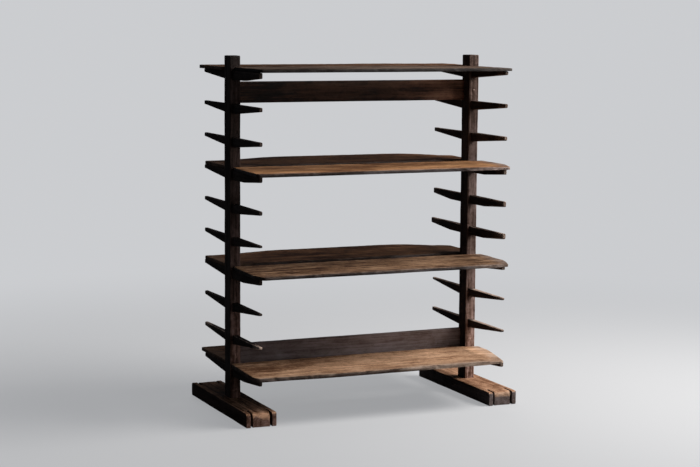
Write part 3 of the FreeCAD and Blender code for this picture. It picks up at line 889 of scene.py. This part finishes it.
def carve(solid, cutters, voxel):
    """Cuts the cutters out of a solid and gives back an even mesh of what is left."""
    for cutter in cutters:
        cut = solid.modifiers.new("cut", "BOOLEAN")
        cut.operation = "DIFFERENCE"
        cut.solver = "EXACT"
        cut.object = cutter
    even = solid.modifiers.new("even", "REMESH")
    even.mode = "VOXEL"
    even.voxel_size = voxel
    soft = solid.modifiers.new("soft", "SMOOTH")
    soft.factor = 0.5
    soft.iterations = 2
    bpy.context.view_layer.update()
    mesh = bpy.data.meshes.new_from_object(solid.evaluated_get(bpy.context.evaluated_depsgraph_get()))
    for thing in (solid, *cutters):
        bpy.data.objects.remove(thing)
    return mesh


def bulge(points, out, edges, size):
    """How far every point stands out from the middle of its neighbours, in shares of the mesh size."""
    total = np.zeros_like(points)
    count = np.zeros(len(points))
    for here, there in (edges.T, edges.T[::-1]):
        np.add.at(total, here, points[there])
        np.add.at(count, here, 1)
    return ((points - total / count[:, None]) * out).sum(axis=1) / size


def foot_cutters(low, high, middle):
    """What is cut out of a foot: the slots with their drilled ends, the mortise and the peg hole."""
    cutters = []
    half = SLOT_WIDTH / 2
    floor, roof = low.z - CUT_BEYOND, high.z + CUT_BEYOND
    for across, end in itertools.product((-1, 1), (-1, 1)):
        x = middle.x + across * ((high.x - low.x) / 2 - FOOT_CHEEK - half)
        tip = high.y if end > 0 else low.y
        inner = tip - end * SLOT_LENGTH
        y_low, y_high = sorted((inner, tip + end * CUT_BEYOND))
        cutters.append(block((x - half, y_low, floor), (x + half, y_high, roof)))
        cutters.append(rod((x, inner, floor), (x, inner, roof), SLOT_HOLE))
    tenon_x, tenon_y = (half_size + FIT for half_size in POST_TENON_HALF)
    cutters.append(block((middle.x - tenon_x, middle.y - tenon_y, POST_TENON_END - MORTISE_END),
                         (middle.x + tenon_x, middle.y + tenon_y, roof)))
    cutters.append(rod((low.x - CUT_BEYOND, middle.y, FOOT_PEG_HEIGHT),
                       (high.x + CUT_BEYOND, middle.y, FOOT_PEG_HEIGHT), FOOT_PEG_RADIUS + FIT))
    return cutters


def round_noses(points, side, high, middle):
    """Rounds the tops of a foot's ends, with the block between the slots a little back from the cheeks.

    Gives back how far each point lies between the slots, how far it was drawn in and how deep it lay.
    """
    block_half = high.x - middle.x - FOOT_CHEEK - SLOT_WIDTH / 2
    from_end = high.y - middle.y - abs(points[:, 1] - middle.y)
    from_top = high.z - points[:, 2]
    between = 1 - ease(abs(points[:, 0] - middle.x), block_half, block_half + SLOT_BLEND)
    nose = CHEEK_NOSE[side] + (BLOCK_NOSE[side] - CHEEK_NOSE[side]) * between
    corner = nose[:, None] - np.stack([from_end, from_top], axis=-1)
    over = np.linalg.norm(np.clip(corner, 0, None), axis=1) / nose
    drawn = np.where((corner > 0).all(axis=1) & (over > 1), 1 - 1 / np.clip(over, 1, None), 0)
    back = corner[:, 0] * drawn + CHEEK_PROUD * between * ease(-from_end, -PROUD_RUN, 0)
    points[:, 1] -= np.sign(points[:, 1] - middle.y) * back
    points[:, 2] -= corner[:, 1] * drawn
    return between, drawn, from_top


def make_foot(side, material, seed):
    """Heavy foot with two slots sawn into each end, a mortise for the post and a hole for its peg."""
    node = f"{side}_foot"
    low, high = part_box(node)
    middle = (low + high) / 2
    carved = carve(block(low, high), foot_cutters(low, high, middle), FOOT_VOXEL)
    points = np.array([v.co for v in carved.vertices])
    out = np.array([v.normal for v in carved.vertices])
    edges = np.array([e.vertices for e in carved.edges])
    wear = ease(bulge(points, out, edges, FOOT_VOXEL), 0.08, 0.45)
    between, drawn, from_top = round_noses(points, side, high, middle)
    # Hewn faces, and edges worn back most along the top
    marks = layers(points, FOOT_MARKS, seed)
    upper = ease(points[:, 2], *FOOT_UPPER)
    dents = np.clip(0.5 + noise(points, (0.05, 0.06, 0.05), seed + 2), 0.1, 1.2)
    seat = ease(np.hypot(points[:, 0] - middle.x, points[:, 1] - middle.y), *FOOT_SEAT)
    points += out * (FOOT_HEW * (marks - 1) * seat - FOOT_WEAR * wear * dents * upper * seat)[:, None]
    points[:, 2] = np.clip(points[:, 2], low.z, high.z)
    wear = wear * dents + 0.8 * drawn / (drawn.max() + FIT)
    frayed = from_top + FOOT_FRAY * noise(points, (0.016, 0.05, 0.03), seed + 3)
    rubbed = between * ease(abs(out[:, 1]), 0.5, 0.9) * (1 - ease(frayed, *FOOT_RUB))
    shell = Shell()
    shell.add(points, np.clip(np.maximum(wear, 0.9 * rubbed), 0, 1), ease(out[:, 2], 0.3, 0.8))
    # Painted shade on the side of the foot away from the light
    shell.painted_shading = 1 - PAINTED_SIDE_SHADE[side] * ease(-out[:, 0], 0.5, 0.9)
    shell.faces = [list(p.vertices) for p in carved.polygons]
    mesh = make_mesh(node, shell, (1, 0, 2), (middle.x + 0.03, -1.1 * seed, -0.05))
    bpy.data.meshes.remove(carved)
    add_piece(f"{node}.timber", mesh, material, "frame", "foot_timber", node)


# Materials

def rgba(colour):
    """A colour with full alpha, or a socket as it is."""
    return colour if isinstance(colour, bpy.types.NodeSocket) else (*colour, 1.0)


class Graph:
    """Short ways to make and join the nodes of a material or a world."""

    def __init__(self, owner):
        owner.use_nodes = True
        self.tree = owner.node_tree
        self.tree.nodes.clear()

    def node(self, kind, inputs=None, **settings):
        made = self.tree.nodes.new(kind)
        for name, value in settings.items():
            setattr(made, name, value)
        for name, value in (inputs or {}).items():
            if isinstance(value, bpy.types.NodeSocket):
                self.tree.links.new(value, made.inputs[name])
            else:
                made.inputs[name].default_value = value
        return made

    def attribute(self, name, output):
        return self.node("ShaderNodeAttribute", attribute_name=name).outputs[output]

    def math(self, operation, *values, clamp=False):
        inputs = dict(enumerate(values))
        return self.node("ShaderNodeMath", inputs, operation=operation, use_clamp=clamp).outputs[0]

    def scaled(self, value, gain, offset=0.0):
        return self.math("MULTIPLY_ADD", value, gain, offset)

    def vector(self, operation, first, second):
        return self.node("ShaderNodeVectorMath", {0: first, 1: second}, operation=operation).outputs[0]

    def stretch(self, vector, scale):
        return self.vector("MULTIPLY", vector, scale)

    def noise(self, vector, scale, detail=3.0, roughness=0.55, distortion=0.0, output="Fac"):
        inputs = {"Vector": self.stretch(vector, scale), "Scale": 1.0, "Detail": detail,
                  "Roughness": roughness, "Distortion": distortion}
        return self.node("ShaderNodeTexNoise", inputs).outputs[output]

    def remap(self, value, low, high, new_low=0.0, new_high=1.0):
        inputs = {"Value": value, "From Min": low, "From Max": high, "To Min": new_low, "To Max": new_high}
        return self.node("ShaderNodeMapRange", inputs, interpolation_type="SMOOTHSTEP").outputs["Result"]

    def mix(self, factor, first, second, blend="MIX"):
        inputs = {0: factor, 6: rgba(first), 7: rgba(second)}
        return self.node("ShaderNodeMix", inputs, data_type="RGBA", blend_type=blend).outputs[2]

    def ramp(self, factor, stops):
        made = self.node("ShaderNodeValToRGB", {"Fac": factor})
        elements = made.color_ramp.elements
        while len(elements) < len(stops):
            elements.new(0.5)
        for element, (place, colour) in zip(elements, stops):
            element.position = place
            element.color = rgba(colour)
        return made.outputs["Color"]


# A wood: its middle colour, the colours of rubbed places and of sawn edges or of sides in painted shade, the
# width of its streaks in metres, how strongly pits mottle it, its roughness, and the contrast of its figure
Wood = namedtuple("Wood", "mid worn edge streak mottle roughness figure", defaults=(1.0,))
KNOT_CELLS = (1.5, 3.4, 0.0)    # knots to a metre along and across the grain
DEEPEST = (0.16, 0.11, 0.08)    # shares of the middle colour, from the darkest streaks to the palest
DARK = (0.40, 0.33, 0.28)
PALE = (1.50, 1.62, 1.76)
PALEST = (1.95, 2.20, 2.45)
SPECULAR = 0.12
BUMP_STRENGTH = 0.7
BUMP_DISTANCE = 0.0022


def shade(colour, shares):
    return tuple(value * share for value, share in zip(colour, shares))


def bend_grain(graph, grain):
    """The grain as it wanders and goes round knots, and how dark the knots are."""
    wander = graph.noise(grain, (1.1, 4.0, 4.0), 2.0, 0.5, output="Color")
    offset = graph.stretch(graph.vector("SUBTRACT", wander, (0.5, 0.5, 0.5)), (0.0, 0.034, 0.022))
    bent = graph.vector("ADD", grain, offset)
    cells = graph.stretch(grain, KNOT_CELLS)
    knots = graph.node("ShaderNodeTexVoronoi", {"Vector": cells, "Scale": 1.0}).outputs
    from_knot = graph.vector("SUBTRACT", cells, knots["Position"])
    from_knot = graph.stretch(from_knot, (0.0, -1 / KNOT_CELLS[1], 0.0))
    pull = graph.remap(knots["Distance"], 0.04, 0.30, 0.9, 0.0)
    bent = graph.vector("ADD", bent, graph.stretch(from_knot, pull))
    return bent, graph.remap(knots["Distance"], 0.030, 0.085, 0.75, 0.0)


def make_wood(name, wood):
    """Old timber: broad and fine streaks, growth rings round the pith, stains, pits, flecks and splits."""
    material = bpy.data.materials.new(name)
    graph = Graph(material)
    grain = graph.attribute("grain", "Vector")
    wear = graph.attribute("wear", "Fac")
    top = graph.attribute("top", "Fac")
    bent, knot = bend_grain(graph, grain)
    # Layers of tone
    ring_inputs = {"Vector": graph.stretch(bent, (0.10, 1.0, 1.0)), "Scale": math.pi / (5 * wood.streak),
                   "Distortion": 2.2, "Detail": 2.0, "Detail Scale": 1.4}
    rings = graph.node("ShaderNodeTexWave", ring_inputs, wave_type="RINGS", rings_direction="X",
                       wave_profile="SAW").outputs["Fac"]
    across = 1 / wood.streak
    broad = graph.noise(bent, (1.7, across, across), 3.0, 0.6)
    fine = graph.noise(bent, (5.0, 4.5 * across, 4.5 * across), 4.0, 0.65)
    fibres = graph.noise(bent, (14.0, 620.0, 620.0), 3.0, 0.6)
    stains = graph.noise(grain, (1.9, 5.0, 5.0), 4.0, 0.62)
    blotches = graph.noise(grain, (8.0, 14.0, 14.0), 5.0, 0.66, 0.9)
    pits = graph.noise(grain, (34.0, 26.0, 34.0), 4.0, 0.62, 1.6)
    gains = ((rings, 0.20), (broad, 1.25), (fine, 1.05), (fibres, 0.6), (stains, 0.6 + 0.5 / wood.figure),
             (blotches, 1.15), (pits, 1.6 * wood.mottle / wood.figure))
    tone = 0.5 - 0.5 * wood.figure * sum(gain for layer, gain in gains)
    for layer, gain in gains:
        tone = graph.scaled(layer, gain * wood.figure, tone)
    # Colour, with flecks, splits and knots, sawn edges and sides in painted shade, rubbed places, and painted
    # light and shade
    deepest = shade(wood.mid, DEEPEST)
    colour = graph.ramp(tone, ((0.08, deepest), (0.30, shade(wood.mid, DARK)), (0.52, wood.mid),
                               (0.76, shade(wood.mid, PALE)), (1.0, shade(wood.mid, PALEST))))
    flecks = graph.remap(graph.noise(grain, (26.0, 150.0, 150.0), 2.0), 0.60, 0.70)
    splits = graph.math("SUBTRACT", graph.noise(bent, (1.3, 70.0, 70.0), 1.0), 0.5)
    splits = graph.remap(graph.math("ABSOLUTE", splits), 0.0, 0.016, 1.0, 0.0)
    marks = graph.math("MAXIMUM", graph.scaled(flecks, 0.7), graph.scaled(splits, 0.6))
    marks = graph.math("MAXIMUM", graph.scaled(marks, min(1.0, 1.2 * wood.figure)), knot)
    colour = graph.mix(marks, colour, deepest)
    edge_stops = ((0.25, shade(wood.edge, DARK)), (0.52, wood.edge), (0.8, shade(wood.edge, PALE)))
    colour = graph.mix(top, graph.ramp(tone, edge_stops), colour)
    rub = graph.scaled(fine, 0.9, graph.scaled(blotches, 0.9, -0.95))
    rub = graph.math("MULTIPLY", graph.math("ADD", wear, rub), graph.remap(wear, 0.05, 0.6), clamp=True)
    colour = graph.mix(rub, colour, graph.ramp(tone, ((0.2, shade(wood.worn, DARK)), (0.6, wood.worn))))
    # Painted light and shade from the mesh lighten or darken the colour
    colour = graph.mix(1.0, colour, graph.attribute("painted_shading", "Color"), "MULTIPLY")
    # Roughness and relief
    rough = graph.scaled(fine, 0.20, graph.scaled(stains, 0.30, wood.roughness - 0.25))
    height = graph.scaled(fibres, 0.3, graph.scaled(fine, 0.7))
    height = graph.scaled(pits, wood.mottle, graph.scaled(marks, -0.5, height))
    bump_inputs = {"Height": height, "Strength": BUMP_STRENGTH, "Distance": BUMP_DISTANCE}
    bump = graph.node("ShaderNodeBump", bump_inputs).outputs[0]
    surface = {"Base Color": colour, "Roughness": rough, "Normal": bump, "Specular IOR Level": SPECULAR}
    shader = graph.node("ShaderNodeBsdfPrincipled", surface).outputs[0]
    graph.node("ShaderNodeOutputMaterial", {"Surface": shader})
    return material


# Painted shade: colour of the post faces turned away from the light
SHADED_SIDE_COLOUR = (0.050, 0.038, 0.034)
EDGE = (0.050, 0.040, 0.039)
# The left post and arms are darker than the right ones and their rubbed places duller: partly the wood's own
# tone, partly painted shade for the light falling off towards the left
LEFT_ARM = Wood((0.036, 0.024, 0.020), (0.10, 0.070, 0.058), SHADED_SIDE_COLOUR, 0.010, 0.3, 0.60)
WOODS = {
    "left_post": Wood((0.060, 0.036, 0.030), (0.13, 0.088, 0.072), SHADED_SIDE_COLOUR, 0.013, 0.4, 0.62),
    "right_post": Wood((0.135, 0.086, 0.071), (0.34, 0.24, 0.20), SHADED_SIDE_COLOUR, 0.013, 0.5, 0.62),
    "left_arms": LEFT_ARM,
    "right_arms": Wood((0.040, 0.026, 0.021), (0.40, 0.30, 0.25), SHADED_SIDE_COLOUR, 0.010, 0.3, 0.60),
    # Its worn tip is real wear, made paler still as painted light
    "pale_arm": LEFT_ARM._replace(worn=(0.92, 0.70, 0.58)),
    "left_foot": Wood(
        (0.27, 0.146, 0.088), (0.64, 0.37, 0.23), (0.185, 0.102, 0.077), 0.022, 0.55, 0.62, 0.8),
    "right_foot": Wood(
        (0.42, 0.236, 0.145), (0.66, 0.42, 0.28), (0.165, 0.126, 0.118), 0.022, 0.4, 0.62, 0.45),
    "rear_boards": Wood((0.088, 0.040, 0.019), (0.16, 0.10, 0.068), EDGE, 0.036, 0.45, 0.58),
    "pegs": Wood((0.06, 0.042, 0.035), (0.12, 0.088, 0.072), SHADED_SIDE_COLOUR, 0.004, 0.2, 0.64),
    "top_rail": Wood((0.046, 0.0190, 0.0098), (0.085, 0.046, 0.034), SHADED_SIDE_COLOUR, 0.020, 0.4, 0.50, 1.35),
    "bottom_rail": Wood((0.135, 0.101, 0.095), (0.19, 0.15, 0.14), SHADED_SIDE_COLOUR, 0.014, 0.12, 0.66, 0.42),
    "shelf_1_front": Wood(
        (0.112, 0.074, 0.054), (0.06, 0.049, 0.044), (0.022, 0.018, 0.017), 0.032, 0.3, 0.58, 0.8),
    "shelf_2_front": Wood((0.335, 0.163, 0.072), (0.33, 0.25, 0.225), EDGE, 0.034, 0.3, 0.50, 0.85),
    "shelf_3_front": Wood((0.205, 0.113, 0.062), (0.30, 0.23, 0.20), EDGE, 0.036, 0.6, 0.56, 1.3),
    "shelf_4_front": Wood(
        (0.47, 0.275, 0.165), (0.52, 0.39, 0.31), (0.075, 0.053, 0.045), 0.040, 0.36, 0.62, 0.60),
}


# Stage, light and camera

CAMERA_PLACE = (-3.50927, -7.90924, 1.89616)
CAMERA_YAW = math.radians(23.7006)
CAMERA_DOWN = math.radians(7.02967)
CAMERA_ROLL = math.radians(0.39227)
CAMERA_LENS = 91.47
CAMERA_SHIFT = 0.00466
SENSOR_WIDTH = 36.0

BACKGROUND = (0.60, 0.61, 0.63)
AMBIENT = (0.055, 0.060, 0.067)
FLOOR_BOUNCE = (0.07, 0.072, 0.075)
FLOOR_GLOW = 0.55    # share of the seen floor that has the background's even tone
FLOOR_FADE = (1.2, 4.8)    # where that share grows to the whole, from the rack's middle
FLOOR_RINGS = 0.5 * 1.35 ** np.arange(16)
FLOOR_SIDES = 96

Light = namedtuple("Light", "name place target size power colour shiny")
LIGHTS = (
    Light("key", (3.35, -1.45, 3.35), (0.0, 0.0, 0.75), 2.4, 330.0, (1.0, 0.965, 0.92), True),
    Light("fill", (1.6, -5.0, 1.1), (0.0, 0.0, 0.6), 1.8, 26.0, (1.0, 0.98, 0.96), True),
    Light("back", (1.2, 4.6, 4.2), (0.0, 0.0, 0.8), 2.6, 70.0, (1.0, 0.98, 0.96), False),
)


def make_camera():
    data = bpy.data.cameras.new("camera")
    data.lens = CAMERA_LENS
    data.sensor_width = SENSOR_WIDTH
    data.shift_x = CAMERA_SHIFT
    camera = link("camera", data)
    camera.matrix_world = (Matrix.Translation(CAMERA_PLACE) @ Matrix.Rotation(-CAMERA_YAW, 4, "Z")
                           @ Matrix.Rotation(math.pi / 2 - CAMERA_DOWN, 4, "X")
                           @ Matrix.Rotation(CAMERA_ROLL, 4, "Z"))
    bpy.context.scene.camera = camera


def make_floor():
    """Wide pale floor that keeps the shadow near the rack and runs into the background further out."""
    turns = np.linspace(0, 2 * math.pi, FLOOR_SIDES, endpoint=False)
    points = np.zeros((len(FLOOR_RINGS), FLOOR_SIDES, 3))
    points[..., 0] = FLOOR_RINGS[:, None] * np.cos(turns)
    points[..., 1] = FLOOR_RINGS[:, None] * np.sin(turns)
    shell = Shell()
    index = shell.add(points)
    shell.tube(index)
    shell.faces.append(index[0].tolist())
    mesh = bpy.data.meshes.new("floor")
    mesh.from_pydata(shell.points.tolist(), [], shell.faces)
    floor = link("floor", mesh)
    material = bpy.data.materials.new("floor")
    mesh.materials.append(material)
    graph = Graph(material)
    seen = graph.node("ShaderNodeLightPath").outputs["Is Camera Ray"]
    place = graph.node("ShaderNodeNewGeometry").outputs["Position"]
    distance = graph.node("ShaderNodeVectorMath", {0: place}, operation="LENGTH").outputs["Value"]
    far = graph.remap(distance, *FLOOR_FADE, FLOOR_GLOW, 1.0)
    matt = graph.node("ShaderNodeBsdfDiffuse", {"Color": graph.mix(seen, FLOOR_BOUNCE, BACKGROUND)})
    glow = graph.node("ShaderNodeEmission", {"Color": rgba(BACKGROUND), "Strength": 1.0})
    shares = {0: graph.math("MULTIPLY", far, seen), 1: matt.outputs[0], 2: glow.outputs[0]}
    both = graph.node("ShaderNodeMixShader", shares)
    graph.node("ShaderNodeOutputMaterial", {"Surface": both.outputs[0]})


def make_world():
    """Pale background where the camera sees it, and a dim even light on the rack."""
    world = bpy.data.worlds.new("studio")
    bpy.context.scene.world = world
    graph = Graph(world)
    seen = graph.node("ShaderNodeLightPath").outputs["Is Camera Ray"]
    background = graph.node("ShaderNodeBackground", {"Color": graph.mix(seen, AMBIENT, BACKGROUND)})
    graph.node("ShaderNodeOutputWorld", {"Surface": background.outputs[0]})


def make_light(light):
    data = bpy.data.lights.new(light.name, "AREA")
    data.shape = "SQUARE"
    data.size = light.size
    data.energy = light.power
    data.color = light.colour
    lamp = link(light.name, data)
    lamp.location = light.place
    lamp.visible_glossy = light.shiny
    lamp.rotation_euler = (Vector(light.target) - Vector(light.place)).to_track_quat("-Z", "Y").to_euler()


def make_rack():
    """Every piece in its wood, with its own seed."""
    woods = {name: make_wood(name, wood) for name, wood in WOODS.items()}
    for number, side in enumerate(SIDES):
        make_post(side, woods[f"{side}_post"], 101 + 40 * number)
        make_rail_pegs(side, woods[f"{side}_post"], 61 + 4 * number)
        make_foot(side, woods[f"{side}_foot"], 201 + 40 * number)
        for level in ARM_LEVELS:
            wood = "pale_arm" if (side, level) in PALE_TIPPED else f"{side}_arms"
            make_arm(side, level, woods[wood], 300 + 20 * level + 7 * number)
    for rail, seed in zip(RAILS, (31, 47)):
        make_rail(rail, woods[rail], seed)
    make_foot_pegs(woods["pegs"], 71)
    for shelf, front_shape, rear_shape in zip(SHELVES, FRONT_SHAPES, REAR_SHAPES):
        front, rear = f"shelf_{shelf}_front", f"shelf_{shelf}_rear"
        make_board(front, front_shape, False, woods[front], 500 + 13 * shelf)
        make_board(rear, rear_shape, True, woods["rear_boards"], 700 + 13 * shelf)


make_rack()
make_floor()
make_world()
for studio_light in LIGHTS:
    make_light(studio_light)
make_camera()
bpy.context.scene.view_settings.view_transform = "Standard"
